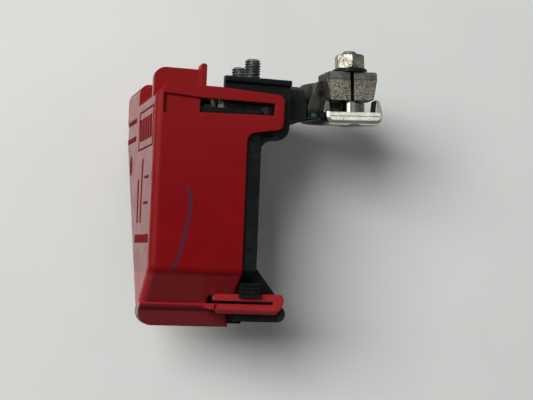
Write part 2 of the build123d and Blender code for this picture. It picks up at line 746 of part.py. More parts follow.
def make_guide():
    """Lip that holds the lower loop against the cheek, with ridges across its face."""
    lip_y = low_loop_y - slide_gap - guide_lip
    top_bottom = low_loop_top + low_loop_rise + slide_gap
    guide = block((guide_left, guide_right), (lip_y, cheek_y + 0.5), (top_bottom, guide_top))
    guide += block((guide_left, guide_right), (lip_y, lip_y + guide_lip),
                   (guide_lip_bottom, guide_top))
    pitch = (guide_top - guide_lip_bottom) / (guide_ridges + 1)
    for step in range(guide_ridges):
        w = guide_top - (step + 0.5) * pitch
        guide += block((guide_left, guide_right), (lip_y - guide_ridge, lip_y), (w - 0.35, w + 0.35))
    return guide


def head_pocket(r, y, w):
    """Room in the web for a clinched stud's head."""
    depth = stud_head_thick + head_gap
    return rod_x(r + stud_head_extra + head_gap, (web_front - 0.1, web_front + depth), y, w)


def make_pockets():
    pockets = [head_pocket(starter_r, starter_y, starter_w)]
    for y in fuse_y.values():
        pockets += [head_pocket(fuse_stud_r, y, w) for w in (fuse_top_w, fuse_bottom_w)]
        pockets.append(head_pocket(output_stud_r, y, output_w))
    floor = tongue_bottom - stud_head_thick - head_gap
    for y in cable_stud_places().values():
        pockets.append(rod_z(cable_stud_r + stud_head_extra + head_gap, (floor, tongue_top),
                             cable_stud_u, y))
    pockets.append(rod_z(rivet_head_r + head_gap, (floor, tongue_top), bar_right - rivet_inset))
    return pockets


def make_housing():
    inset = cover_wall + slide_gap
    tub = along_x(shield(inset, tub_top), (tub_front, skirt_back))
    tub += along_x(shield(inset - shoulder, flange_top), (cover_edge + shoulder_gap, skirt_back))
    hollow = along_x(shield(inset + tub_wall, open_reach), (tub_front - 1, web_front))
    back = along_x(shield(inset + tub_wall, flange_top - 2), (web_front + web_thick, 0))
    tub -= hollow + back
    for w in back_rib_levels:
        tub += along_x(shield(inset, open_reach), (web_front + web_thick, skirt_back - 1)) & block(
            (web_front, skirt_back), (cover_near, cover_far), (w, w + rib_thick))
    housing = tub + make_tray() + make_foot() + make_guide()
    housing += make_catch() + mirrored(make_catch())
    housing -= make_arm() + bar_strip()
    for pocket in make_pockets():
        housing -= pocket
    return lean(housing)


# ---- Write every piece -----------------------------------------------------------------------
def make_pieces():
    pieces = {
        "clamp_body": make_clamp_body(),
        "wedge_saddle": make_saddle(),
        "clamp_bolt": make_clamp_bolt(),
        "clamp_washer": make_clamp_washer(),
        "clamp_nut": make_clamp_nut(),
        "housing": make_housing(),
        "cover": make_cover(),
        "main_busbar": make_busbar(),
        "arm_rivet": make_rivet(),
        "starter_stud": front_stud(starter_r, starter_length, starter_y, starter_w),
    }
    for place, y in cable_stud_places().items():
        pieces[f"{place}_cable_stud"] = make_cable_stud(y)
    for place, y in fuse_y.items():
        pieces[f"{place}_fuse_body"] = make_fuse_body(y)
        pieces[f"{place}_fuse_link"] = lean(fuse_link(y))
        pieces[f"{place}_output_plate"] = make_output_plate(y)
        pieces[f"{place}_output_stud"] = front_stud(output_stud_r, output_stud_length, y, output_w)
        for end, w in (("upper", fuse_top_w), ("lower", fuse_bottom_w)):
            pieces[f"{place}_fuse_{end}_stud"] = front_stud(fuse_stud_r, fuse_stud_length, y, w)
            pieces[f"{place}_fuse_{end}_nut"] = make_fuse_nut(y, w)
    return pieces


os.makedirs("parts", exist_ok=True)
for name, piece in make_pieces().items():
    export_step(piece, f"parts/{name}.step")
    print(f"{name}: {piece.volume / 1000:.3f} cm3")
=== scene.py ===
import json
import math

import bpy
from mathutils import Matrix, Vector

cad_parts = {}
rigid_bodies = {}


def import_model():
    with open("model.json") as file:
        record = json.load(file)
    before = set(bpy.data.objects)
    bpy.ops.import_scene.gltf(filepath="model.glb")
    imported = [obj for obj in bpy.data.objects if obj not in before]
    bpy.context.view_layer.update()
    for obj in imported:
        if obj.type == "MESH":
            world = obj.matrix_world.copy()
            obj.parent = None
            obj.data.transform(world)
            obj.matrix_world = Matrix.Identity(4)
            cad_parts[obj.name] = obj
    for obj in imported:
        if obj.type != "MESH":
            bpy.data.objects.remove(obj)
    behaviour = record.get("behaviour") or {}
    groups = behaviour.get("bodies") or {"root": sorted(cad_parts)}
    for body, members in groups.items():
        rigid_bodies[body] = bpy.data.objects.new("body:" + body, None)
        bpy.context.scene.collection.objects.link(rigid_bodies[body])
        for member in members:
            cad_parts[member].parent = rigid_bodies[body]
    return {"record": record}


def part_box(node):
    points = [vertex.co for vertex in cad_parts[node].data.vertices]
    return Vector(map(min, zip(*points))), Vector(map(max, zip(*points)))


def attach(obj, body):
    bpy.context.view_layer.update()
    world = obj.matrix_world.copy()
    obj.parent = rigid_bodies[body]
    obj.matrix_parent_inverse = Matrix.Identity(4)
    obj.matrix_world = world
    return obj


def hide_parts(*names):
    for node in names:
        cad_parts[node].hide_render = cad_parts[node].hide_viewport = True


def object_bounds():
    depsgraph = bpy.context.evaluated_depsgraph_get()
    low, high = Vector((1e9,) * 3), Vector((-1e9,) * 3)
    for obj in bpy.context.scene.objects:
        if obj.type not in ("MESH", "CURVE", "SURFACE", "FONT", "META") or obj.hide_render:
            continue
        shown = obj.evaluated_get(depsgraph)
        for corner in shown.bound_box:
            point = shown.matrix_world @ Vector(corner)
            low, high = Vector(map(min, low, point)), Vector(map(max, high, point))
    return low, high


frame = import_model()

cad_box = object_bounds()
MM = 0.001

# ---- The box's own frame ------------------------------------------------------------------
# The fuse box hangs from the clamp with a small lean. Its pieces are laid out upright, u forwards
# and back, w up, and carried to their leaning place by this matrix.
BOX_LEAN = math.radians(3)
BOX_RISE = 2.1 * MM
BOX_PLACE = Matrix.Translation((0, 0, BOX_RISE)) @ Matrix.Rotation(BOX_LEAN, 4, "Y")

# ---- Modelling helpers --------------------------------------------------------------------
MERGE = 1e-7                # points closer than this become one
ROUND_STEPS = 48            # sides of a turned piece
THREAD_STEPS = 40           # sides of one turn of a thread
SMOOTH_ANGLE = math.radians(30)


def deselect_all():
    if bpy.context.object and bpy.context.object.mode != "OBJECT":
        bpy.ops.object.mode_set(mode="OBJECT")
    bpy.ops.object.select_all(action="DESELECT")


def pick(piece):
    """Make one piece the only selected and active one."""
    deselect_all()
    piece.select_set(True)
    bpy.context.view_layer.objects.active = piece


def named(name):
    piece = bpy.context.object
    piece.name = name
    piece.data.name = name
    return piece


def edit_all(piece):
    pick(piece)
    bpy.ops.object.mode_set(mode="EDIT")
    bpy.ops.mesh.select_mode(type="VERT")
    bpy.ops.mesh.select_all(action="SELECT")


def leave_edit():
    bpy.ops.object.mode_set(mode="OBJECT")


def apply_modifier(piece, kind, **settings):
    pick(piece)
    modifier = piece.modifiers.new(kind.lower(), kind)
    for key, value in settings.items():
        setattr(modifier, key, value)
    bpy.ops.object.modifier_apply(modifier=modifier.name)


def outward(piece):
    """Merge doubles and turn every face outwards."""
    edit_all(piece)
    bpy.ops.mesh.remove_doubles(threshold=MERGE)
    bpy.ops.mesh.normals_make_consistent(inside=False)
    leave_edit()
    return piece


def smooth(piece):
    pick(piece)
    bpy.ops.object.shade_smooth_by_angle(angle=SMOOTH_ANGLE)


def put(piece, matrix):
    """Move a finished piece to its place and leave its object at the origin."""
    piece.matrix_world = matrix
    pick(piece)
    bpy.ops.object.transform_apply(location=True, rotation=True, scale=True)


def draw_line(name, points):
    """One vertex, extruded from point to point."""
    deselect_all()
    bpy.ops.mesh.primitive_plane_add(size=MM)
    line = named(name)
    edit_all(line)
    bpy.ops.mesh.merge(type="CENTER")
    bpy.ops.transform.translate(value=points[0])
    for start, end in zip(points, points[1:]):
        step = Vector(end) - Vector(start)
        bpy.ops.mesh.extrude_region_move(TRANSFORM_OT_translate={"value": step})
    leave_edit()
    return line


def sweep_round(line, steps, climb=0.0):
    """Sweep a line once round the Z axis, climbing as it goes."""
    apply_modifier(line, "SCREW", axis="Z", angle=2 * math.pi, screw_offset=climb, steps=steps,
                   render_steps=steps, use_merge_vertices=True, merge_threshold=MERGE)


def turned(name, points):
    """Closed round piece from its half outline: (radius, height) points from the axis back to it."""
    piece = draw_line(name, [(radius, 0, height) for radius, height in points])
    sweep_round(piece, ROUND_STEPS)
    return outward(piece)


def cut_with(piece, tool, operation):
    """Boolean of a piece with a tool, which is used up."""
    apply_modifier(piece, "BOOLEAN", operation=operation, solver="EXACT", object=tool)
    bpy.data.objects.remove(tool)


# ---- Threaded studs -----------------------------------------------------------------------
THREAD_DEPTH = 0.6          # these three are shares of the pitch
THREAD_FLANK = 0.42
THREAD_CREST = 0.12
STUD_TIP = 0.8 * MM         # chamfer on a stud's tip
EDGE_BREAK = 0.12 * MM      # chamfer on the edges of its plain parts
TRIM_GAP = 0.05 * MM        # the piece that trims a thread stands this far off its crests

# The rest are in millimetres.
OVERLAP = 0.2               # the parts of a stud run this far into each other
HEAD_REACH = 1.3            # a pressed-in stud's head is this much wider than its thread
HEAD_THICK = 1.4
BAR_TOP = 5.0               # the busbar's top
TONGUE_BOTTOM = 0.5         # and the underside of the tongue that carries it
CABLE_STUD_U = -35.6
CABLE_STUD_Y = {"near": -10, "far": 10}
CABLE_STUD_R, CABLE_STUD_PITCH, CABLE_STUD_SHOULDER, CABLE_STUD_TOP = 3.0, 1.0, 3.3, 17.6
PLATE_THICK = 1.5           # the plates that the front studs are pressed into
WEB_FRONT = -49.5           # u of the web behind those plates
BOLT_X, BOLT_Y = 0.8, -17.5
BOLT_R, BOLT_PITCH, BOLT_HEAD_R, BOLT_HEAD_THICK = 2.95, 1.0, 4.6, 1.5
BOLT_SHANK_TOP = 10.0

# Studs on the web's front: radius, pitch, length, y and w.
FRONT_STUDS = {"starter_stud": (4.0, 1.25, 16.5, 13.4, -3.6)}
for fuse, fuse_y in (("near", -19), ("centre", -4)):
    FRONT_STUDS[f"{fuse}_fuse_upper_stud"] = (2.5, 0.8, 9.8, fuse_y, -4.5)
    FRONT_STUDS[f"{fuse}_fuse_lower_stud"] = (2.5, 0.8, 9.8, fuse_y, -34.5)
    FRONT_STUDS[f"{fuse}_output_stud"] = (3.0, 1.0, 12.5, fuse_y, -50.5)


def thread_bar(radius, pitch, low, high):
    """Right-handed thread over its whole length, with both ends closed."""
    root = radius - THREAD_DEPTH * pitch
    flank = THREAD_FLANK * pitch
    crest = THREAD_CREST * pitch
    points = []
    height = low
    while height < high:
        points += [(root, 0, height), (radius, 0, height + flank),
                   (radius, 0, height + flank + crest), (root, 0, height + 2 * flank + crest)]
        height += pitch
    points.append((root, 0, height))
    bar = draw_line("thread", points)
    sweep_round(bar, THREAD_STEPS, climb=pitch)
    edit_all(bar)
    bpy.ops.mesh.remove_doubles(threshold=MERGE)
    bpy.ops.mesh.select_all(action="DESELECT")
    bpy.ops.mesh.select_non_manifold()
    bpy.ops.mesh.fill_holes(sides=0)
    leave_edit()
    return outward(bar)


def threaded_stud(name, radius, pitch, parts, thread_from, tip):
    """Stud along +Z: plain parts as (radius, low, high) up from its head, then thread to its tip."""
    stud = thread_bar(radius, pitch, thread_from - 2 * pitch, tip + pitch)
    over = radius + TRIM_GAP
    trim = [(0, thread_from), (over, thread_from), (over, tip - STUD_TIP - TRIM_GAP),
            (radius - STUD_TIP, tip), (0, tip)]
    cut_with(stud, turned("trim", trim), "INTERSECT")
    for size, low, high in parts:
        edge = min(EDGE_BREAK, (high - low) / 4)
        ring = [(0, low), (size - edge, low), (size, low + edge), (size, high - edge),
                (size - edge, high), (0, high)]
        cut_with(stud, turned("ring", ring), "UNION")
    stud.name = name
    stud.data.name = name
    outward(stud)
    smooth(stud)
    return stud


def stand_in_for(piece, node, body):
    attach(piece, body)
    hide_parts(node)


def make_cable_studs():
    head = ((CABLE_STUD_R + HEAD_REACH) * MM, (TONGUE_BOTTOM - HEAD_THICK) * MM, TONGUE_BOTTOM * MM)
    shoulder = (CABLE_STUD_SHOULDER * MM, TONGUE_BOTTOM * MM, BAR_TOP * MM)
    for place, y in CABLE_STUD_Y.items():
        stud = threaded_stud(f"{place}_cable_stud_thread", CABLE_STUD_R * MM, CABLE_STUD_PITCH * MM,
                             [head, shoulder], BAR_TOP * MM - OVERLAP * MM, CABLE_STUD_TOP * MM)
        put(stud, BOX_PLACE @ Matrix.Translation((CABLE_STUD_U * MM, y * MM, 0)))
        stand_in_for(stud, f"{place}_cable_stud", "clamp_and_box")


def make_front_studs():
    """Studs that stand forwards from the web, their heads behind the plates they are pressed into."""
    forwards = Matrix.Rotation(-math.pi / 2, 4, "Y")
    plate = PLATE_THICK * MM
    for node, (radius, pitch, length, y, w) in FRONT_STUDS.items():
        head = ((radius + HEAD_REACH) * MM, -HEAD_THICK * MM, 0)
        shank = (radius * MM, -OVERLAP * MM, plate)
        stud = threaded_stud(f"{node}_thread", radius * MM, pitch * MM, [head, shank],
                             plate - OVERLAP * MM, length * MM)
        put(stud, BOX_PLACE @ Matrix.Translation((WEB_FRONT * MM, y * MM, w * MM)) @ forwards)
        stand_in_for(stud, node, "clamp_and_box")


def make_bolt():
    low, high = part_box("clamp_bolt")
    head_top = low.z + BOLT_HEAD_THICK * MM
    head = (BOLT_HEAD_R * MM, low.z, head_top)
    shank = (BOLT_R * MM, head_top - OVERLAP * MM, BOLT_SHANK_TOP * MM)
    bolt = threaded_stud("clamp_bolt_thread", BOLT_R * MM, BOLT_PITCH * MM, [head, shank],
                         (BOLT_SHANK_TOP - OVERLAP) * MM, high.z)
    put(bolt, Matrix.Translation((BOLT_X * MM, BOLT_Y * MM, 0)))
    stand_in_for(bolt, "clamp_bolt", "saddle")


# ---- Plain marks on the cover's front -----------------------------------------------------
COVER_FRONT = -75.1 * MM
MARK_HEIGHT = 0.14 * MM
MARK_ROOT = 0.2 * MM        # the marks reach this far into the cover

# Places on the front, in millimetres: y from near to far, then w from low to high.
PANEL = (-27.9, 1.3, -18.4, -4.0)
PANEL_BORDER = 0.7
PANEL_BAR_STARTS = [-25.3 + 5.1 * step for step in range(5)]    # slanted bars, not lettering
PANEL_BAR_WIDTH, PANEL_BAR_SLANT = 3.4, 1.0
PANEL_BAR_LOW, PANEL_BAR_HIGH = -15.2, -7.0
WIDE_BARS = [(8.5, 27.0, -6.8, -5.1), (8.5, 27.0, -13.8, -11.9)]
SPOT = (15.2, 19.6, -26.5, -19.0)
SPOT_CORNERS = 24
TICKS = [(-26.6 + 3.15 * step, -24.4 + 3.15 * step, -52.2, -49.2) for step in range(9)]
SLANTED_STROKES = [[(-3.2, -45.0), (-1.6, -45.0), (-0.6, -29.0), (-2.6, -29.0)],
                   [(-9.5, -45.0), (-8.1, -45.0), (-8.6, -22.0), (-10.6, -22.0)]]
LEVEL_STROKES = [(-22.5, -14.5, -38.6, -37.6), (-22.5, -14.5, -29.4, -28.4)]


def rectangle(near, far, low, high):
    return [(near, low), (far, low), (far, high), (near, high)]


def oval(near, far, low, high):
    turns = [2 * math.pi * corner / SPOT_CORNERS for corner in range(SPOT_CORNERS)]
    return [((near + far) / 2 + (far - near) / 2 * math.cos(turn),
             (low + high) / 2 + (high - low) / 2 * math.sin(turn)) for turn in turns]


def pad_on_front(corners):
    """Thin pad with the given (y, w) corners and softened edges, standing on the cover's front."""
    pad = draw_line("pad", [(COVER_FRONT + MARK_ROOT, y * MM, w * MM) for y, w in corners])
    edit_all(pad)
    bpy.ops.mesh.edge_face_add()
    rise = (-MARK_ROOT - MARK_HEIGHT, 0, 0)
    bpy.ops.mesh.extrude_region_move(TRANSFORM_OT_translate={"value": rise})
    leave_edit()
    outward(pad)
    edit_all(pad)
    bpy.ops.mesh.select_all(action="DESELECT")
    leave_edit()
    for edge in pad.data.edges:
        ends = [pad.data.vertices[i].co for i in edge.vertices]
        edge.select = all(end.x < COVER_FRONT - MARK_HEIGHT / 2 for end in ends)
    bpy.ops.object.mode_set(mode="EDIT")
    bpy.ops.mesh.select_mode(type="EDGE")
    bpy.ops.mesh.bevel(offset=MARK_HEIGHT * 0.5, segments=2)
    leave_edit()
    return pad


def join(pieces, name):
    deselect_all()
    for piece in pieces:
        piece.select_set(True)
    bpy.context.view_layer.objects.active = pieces[0]
    bpy.ops.object.join()
    return named(name)


def make_front_marks():
    near, far, low, high = PANEL
    shapes = [rectangle(near, far, high - PANEL_BORDER, high),
              rectangle(near, far, low, low + PANEL_BORDER),
              rectangle(near, near + PANEL_BORDER, low, high),
              rectangle(far - PANEL_BORDER, far, low, high)]
    for start in PANEL_BAR_STARTS:
        end = start + PANEL_BAR_WIDTH
        shapes.append([(start, PANEL_BAR_LOW), (end, PANEL_BAR_LOW),
                       (end + PANEL_BAR_SLANT, PANEL_BAR_HIGH),
                       (start + PANEL_BAR_SLANT, PANEL_BAR_HIGH)])
    shapes += [rectangle(*bar) for bar in WIDE_BARS]
    shapes.append(oval(*SPOT))
    shapes += [rectangle(*tick) for tick in TICKS]
    shapes += SLANTED_STROKES
    shapes += [rectangle(*stroke) for stroke in LEVEL_STROKES]
    marks = join([pad_on_front(corners) for corners in shapes], "front_marks")
    put(marks, BOX_PLACE)
    smooth(marks)
    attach(marks, "cover")


make_cable_studs()
make_front_studs()
make_bolt()
make_front_marks()


# ---- Shader helpers -----------------------------------------------------------------------
def feed(tree, socket, value):
    """Link another socket into this one, or set it where the value is a plain number or colour."""
    if isinstance(value, bpy.types.NodeSocket):
        tree.links.new(value, socket)
    else:
        socket.default_value = value


def compute(tree, operation, first, second=0.0, clamp=False):
    node = tree.nodes.new("ShaderNodeMath")
    node.operation = operation
    node.use_clamp = clamp
    feed(tree, node.inputs[0], first)
    feed(tree, node.inputs[1], second)
    return node.outputs[0]


def times(tree, first, second):
    return compute(tree, "MULTIPLY", first, second)


def plus(tree, first, second):
    return compute(tree, "ADD", first, second)


def minus(tree, first, second, clamp=False):
    return compute(tree, "SUBTRACT", first, second, clamp)


def gap(tree, first, second):
    return compute(tree, "ABSOLUTE", minus(tree, first, second))


def straight(tree, value, slope, offset):
    line = compute(tree, "MULTIPLY_ADD", value, slope)
    line.node.inputs[2].default_value = offset
    return line


def ramp(tree, value, start, end, low=0.0, high=1.0):
    """Smooth change from low, at start, to high, at end."""
    node = tree.nodes.new("ShaderNodeMapRange")
    node.interpolation_type = "SMOOTHSTEP"
    feed(tree, node.inputs["Value"], value)
    for label, level in (("From Min", start), ("From Max", end), ("To Min", low), ("To Max", high)):
        node.inputs[label].default_value = level
    return node.outputs["Result"]


def ramp_mm(tree, value, span, low=0.0, high=1.0):
    """The same for a place in metres, between two places in millimetres."""
    return ramp(tree, value, span[0] * MM, span[1] * MM, low, high)


def tint(tree, mask, under, over):
    """Colour over another colour, where the mask is."""
    node = tree.nodes.new("ShaderNodeMix")
    node.data_type = "RGBA"
    feed(tree, node.inputs["Factor"], mask)
    feed(tree, node.inputs[6], under)
    feed(tree, node.inputs[7], over)
    return node.outputs[2]


def coat(tree, colour, mask, amount, over):
    """The colour with another laid over it, in the mask's shape and by the amount."""
    return tint(tree, times(tree, mask, amount), colour, over)


def noise(tree, vector, scale, detail, roughness=0.55):
    node = tree.nodes.new("ShaderNodeTexNoise")
    node.inputs["Scale"].default_value = scale
    node.inputs["Detail"].default_value = detail
    node.inputs["Roughness"].default_value = roughness
    tree.links.new(vector, node.inputs["Vector"])
    return node.outputs["Fac"]


def cells(tree, vector, scale):
    """Scattered cells: the distance from each one's centre, and a random value for each."""
    node = tree.nodes.new("ShaderNodeTexVoronoi")
    node.inputs["Scale"].default_value = scale
    tree.links.new(vector, node.inputs["Vector"])
    split = tree.nodes.new("ShaderNodeSeparateColor")
    tree.links.new(node.outputs["Color"], split.inputs["Color"])
    return node.outputs["Distance"], split.outputs["Red"]


def axes(tree, vector):
    split = tree.nodes.new("ShaderNodeSeparateXYZ")
    tree.links.new(vector, split.inputs["Vector"])
    return split.outputs


def facing(tree):
    """Which way the true face points, by its share along each axis."""
    return axes(tree, tree.nodes.new("ShaderNodeNewGeometry").outputs["True Normal"])


def vector_sum(tree, operation, first, second):
    """Dot product or distance of two vectors."""
    node = tree.nodes.new("ShaderNodeVectorMath")
    node.operation = operation
    feed(tree, node.inputs[0], first)
    feed(tree, node.inputs[1], second)
    return node.outputs["Value"]


def bump(tree, height, depth, normal):
    """Normal over a height of 0 to 1, where 1 stands as proud as the depth."""
    node = tree.nodes.new("ShaderNodeBump")
    node.inputs["Distance"].default_value = depth
    tree.links.new(height, node.inputs["Height"])
    tree.links.new(normal, node.inputs["Normal"])
    return node.outputs["Normal"]


def patch(tree, vector, place, full, none, level=1.0):
    """Ragged round mask about a place, full inside one distance and nothing past the other. All three
    are in millimetres."""
    away = vector_sum(tree, "DISTANCE", vector, [value * MM for value in place])
    ragged = times(tree, noise(tree, vector, 700, 4), 1.6 * MM)
    return ramp_mm(tree, plus(tree, away, ragged), (none, full), 0.0, level)


def start_group(name, outputs, **settings):
    """Node group with a Vector input and one input for each setting."""
    group = bpy.data.node_groups.new(name, "ShaderNodeTree")
    group.interface.new_socket("Vector", in_out="INPUT", socket_type="NodeSocketVector")
    for label, value in settings.items():
        socket = group.interface.new_socket(label, in_out="INPUT", socket_type="NodeSocketFloat")
        socket.default_value = value
    for label in outputs:
        kind = "NodeSocketVector" if label == "Normal" else "NodeSocketFloat"
        group.interface.new_socket(label, in_out="OUTPUT", socket_type=kind)
    start = group.nodes.new("NodeGroupInput")
    end = group.nodes.new("NodeGroupOutput")
    return group, start.outputs, end.inputs


def use_group(tree, group, vector, **settings):
    node = tree.nodes.new("ShaderNodeGroup")
    node.node_tree = group
    tree.links.new(vector, node.inputs["Vector"])
    for label, value in settings.items():
        feed(tree, node.inputs[label], value)
    return node.outputs


# ---- Effects that several finishes share --------------------------------------------------
def group_box_place():
    """Place in the box's own upright frame, in millimetres."""
    group, start, end = start_group("box_place", ["U", "Y", "W"])
    back = group.nodes.new("ShaderNodeMapping")
    back.vector_type = "TEXTURE"
    back.inputs["Location"].default_value = (0, 0, BOX_RISE)
    back.inputs["Rotation"].default_value = (0, BOX_LEAN, 0)
    back.inputs["Scale"].default_value = (MM, MM, MM)
    group.links.new(start["Vector"], back.inputs["Vector"])
    place = axes(group, back.outputs["Vector"])
    for label, axis in (("U", "X"), ("Y", "Y"), ("W", "Z")):
        group.links.new(place[axis], end[label])
    return group


def group_moulded_grain():
    """Fine spark-eroded grain of a moulding, with the slow mottle of its flow."""
    group, start, end = start_group("moulded_grain", ["Height", "Mottle"])
    fine = noise(group, start["Vector"], 2400, 2)
    coarse = noise(group, start["Vector"], 620, 3)
    group.links.new(plus(group, times(group, coarse, 0.5), times(group, fine, 0.5)), end["Height"])
    mottle = noise(group, start["Vector"], 75, 5, 0.6)
    group.links.new(ramp(group, mottle, 0.32, 0.68), end["Mottle"])
    return group


def group_edge_wear():
    """Rounded edges, and a broken mask along them where handling has rubbed the surface."""
    group, start, end = start_group("edge_wear", ["Edge", "Normal"], Reach=0.4 * MM, Spread=0.5)
    rounded = group.nodes.new("ShaderNodeBevel")
    rounded.samples = 6
    group.links.new(start["Reach"], rounded.inputs["Radius"])
    true = group.nodes.new("ShaderNodeNewGeometry")
    alike = vector_sum(group, "DOT_PRODUCT", rounded.outputs["Normal"], true.outputs["Normal"])
    patches = noise(group, start["Vector"], 420, 5, 0.65)
    worn = plus(group, patches, minus(group, start["Spread"], 0.5))
    edge = times(group, ramp(group, alike, 0.995, 0.86), ramp(group, worn, 0.42, 0.66))
    group.links.new(edge, end["Edge"])
    group.links.new(rounded.outputs["Normal"], end["Normal"])
    return group


def group_corner_dirt_and_shade():
    """Soiling and painted shade that gather in corners and recesses, uneven over the surface: the
    more sheltered a place, the darker it is painted.
    """
    group, start, end = start_group("corner_dirt_and_shade", ["Dirt"], Reach=2.5 * MM, Sharp=1.0)
    shelter = group.nodes.new("ShaderNodeAmbientOcclusion")
    shelter.samples = 4
    group.links.new(start["Reach"], shelter.inputs["Distance"])
    open_air = compute(group, "POWER", shelter.outputs["AO"], start["Sharp"])
    uneven = ramp(group, noise(group, start["Vector"], 260, 5, 0.65), 0.3, 0.7, 0.35, 1.0)
    group.links.new(times(group, ramp(group, open_air, 0.85, 0.25), uneven), end["Dirt"])
    return group


def group_scratches():
    """Long thin scratches in two directions, broken along their length."""
    group, start, end = start_group("scratches", ["Scratch"], Amount=0.5)
    lines = []
    for turn, scale in (((20, 35, 10), (260, 260, 14)), ((-40, 15, 60), (18, 300, 300))):
        stretch = group.nodes.new("ShaderNodeMapping")
        stretch.inputs["Rotation"].default_value = [math.radians(angle) for angle in turn]
        stretch.inputs["Scale"].default_value = scale
        group.links.new(start["Vector"], stretch.inputs["Vector"])
        field = noise(group, stretch.outputs["Vector"], 1, 2, 0.4)
        lines.append(ramp(group, gap(group, field, 0.5), 0.012, 0.003))
    both = compute(group, "MAXIMUM", *lines)
    patches = plus(group, noise(group, start["Vector"], 190, 3), minus(group, start["Amount"], 0.5))
    group.links.new(times(group, both, ramp(group, patches, 0.5, 0.62)), end["Scratch"])
    return group


def group_cast_skin():
    """Sand-cast skin: pebbled height, dark pits and pale specks of plating on the high grains."""
    group, start, end = start_group("cast_skin", ["Height", "Pit", "Speck"])
    pebbles = noise(group, start["Vector"], 2600, 3, 0.6)
    swell = noise(group, start["Vector"], 330, 3, 0.5)
    group.links.new(plus(group, times(group, pebbles, 0.6), times(group, swell, 0.4)), end["Height"])
    distance, chance = cells(group, start["Vector"], 950)
    pit = times(group, ramp(group, distance, 0.42, 0.16), ramp(group, chance, 0.70, 0.74))
    group.links.new(pit, end["Pit"])
    distance, chance = cells(group, start["Vector"], 2000)
    ragged = plus(group, distance, times(group, pebbles, 0.5))
    speck = times(group, ramp(group, ragged, 0.82, 0.58), ramp(group, chance, 0.05, 0.20))
    group.links.new(speck, end["Speck"])
    return group


def group_plating_spots():
    """Ageing of a plated surface: slow clouds, and small spots where the plating has gone."""
    group, start, end = start_group("plating_spots", ["Cloud", "Spot"], Amount=0.5)
    cloud = noise(group, start["Vector"], 210, 5, 0.65)
    group.links.new(ramp(group, cloud, 0.35, 0.68), end["Cloud"])
    distance, chance = cells(group, start["Vector"], 1050)
    ragged = plus(group, distance, times(group, noise(group, start["Vector"], 4200, 2), 0.35))
    chance = plus(group, chance, minus(group, start["Amount"], 0.5))
    spot = times(group, ramp(group, ragged, 0.48, 0.34), ramp(group, chance, 0.80, 0.84))
    group.links.new(spot, end["Spot"])
    return group


box_place = group_box_place()
moulded_grain = group_moulded_grain()
edge_wear = group_edge_wear()
corner_dirt_and_shade = group_corner_dirt_and_shade()
scratches = group_scratches()
cast_skin = group_cast_skin()
plating_spots = group_plating_spots()


# ---- Finishes of the mouldings ------------------------------------------------------------
def new_material(name):
    material = bpy.data.materials.new(name)
    material.use_nodes = True
    return material, material.node_tree


def start_finish(name, metallic=0.0, specular=0.5):
    """Material with its shader's inputs and the object coordinates that its patterns follow."""
    material, tree = new_material(name)
    shader = tree.nodes["Principled BSDF"].inputs
    shader["Metallic"].default_value = metallic
    shader["Specular IOR Level"].default_value = specular
    place = tree.nodes.new("ShaderNodeTexCoord")
    return material, tree, shader, place.outputs["Object"]


# Places on the box in millimetres along u or w, each from a change's start to where it is full.
FRONT_FACE_U = (-74.7, -75.0)
# Painted sheen: towards the top the cover is painted a greyer red, as the pale room's sheen on it.
PAINTED_SHEEN_TOP_W = (-45.0, 10.0)
# Painted light: the bevel that faces down is painted a lighter red, in place of light falling on it.
BEVEL_W = (-62.0, -63.5)
# Painted shade: the toe under the ledge is painted a duller, darker red.
TOE_W = (-74.4, -74.9)
ARM_COLLAR_U = (-26.2, -25.4)

# The pen stroke on the cover's near side bows forwards as it runs down: (w, u) along its middle.
PEN_BOW = [(-62.0, -67.4), (-56.2, -64.8), (-49.1, -63.1), (-42.6, -61.8), (-38.2, -61.3),
           (-33.7, -62.2), (-31.2, -63.8)]
PEN_LEFT, PEN_REACH = -68.0, 8.0        # the span of u that its curve is drawn in
PEN_THIN_W = (-34.5, -31.0)             # it thins out towards its upper end
PEN_SLOPE, PEN_START_W = 0.39, -6.2     # the faint start across: w = slope * u + start
PEN_START_U, PEN_END_U = (-70.4, -69.8), (-63.2, -63.9)
PEN_SIDE_Y = (-29.6, -30.4)             # it is on the near side only


def pen_stroke(tree, place, vector):
    """Mask of the pen stroke: a faint start across, then one bold bow downwards."""
    low, high = PEN_BOW[0][0], PEN_BOW[-1][0]
    spots = [((w - low) / (high - low), (u - PEN_LEFT) / PEN_REACH) for w, u in PEN_BOW]
    bow = tree.nodes.new("ShaderNodeFloatCurve")
    points = bow.mapping.curves[0].points
    points[0].location, points[1].location = spots[0], spots[-1]
    for spot in spots[1:-1]:
        points.new(*spot)
    bow.mapping.update()
    level = compute(tree, "DIVIDE", minus(tree, place["W"], low), high - low)
    tree.links.new(level, bow.inputs["Value"])
    middle = straight(tree, bow.outputs["Value"], PEN_REACH, PEN_LEFT)
    ragged = times(tree, noise(tree, vector, 900, 3), 0.35)
    off = plus(tree, plus(tree, gap(tree, place["U"], middle), ragged),
               ramp(tree, place["W"], *PEN_THIN_W, 0.0, 0.5))
    ends = times(tree, ramp(tree, place["W"], low - 0.3, low + 0.5),
                 ramp(tree, place["W"], high + 0.3, high - 0.3))
    bold = times(tree, ramp(tree, off, 0.90, 0.55), ends)

    start_line = straight(tree, place["U"], PEN_SLOPE, PEN_START_W)
    faint = ramp(tree, gap(tree, place["W"], start_line), 0.34, 0.12)
    broken = ramp(tree, noise(tree, vector, 700, 2), 0.46, 0.58, 0.12, 0.75)
    across = times(tree, ramp(tree, place["U"], *PEN_START_U), ramp(tree, place["U"], *PEN_END_U))
    stroke = compute(tree, "MAXIMUM", bold, times(tree, times(tree, faint, broken), across))
    return times(tree, stroke, ramp(tree, place["Y"], *PEN_SIDE_Y))


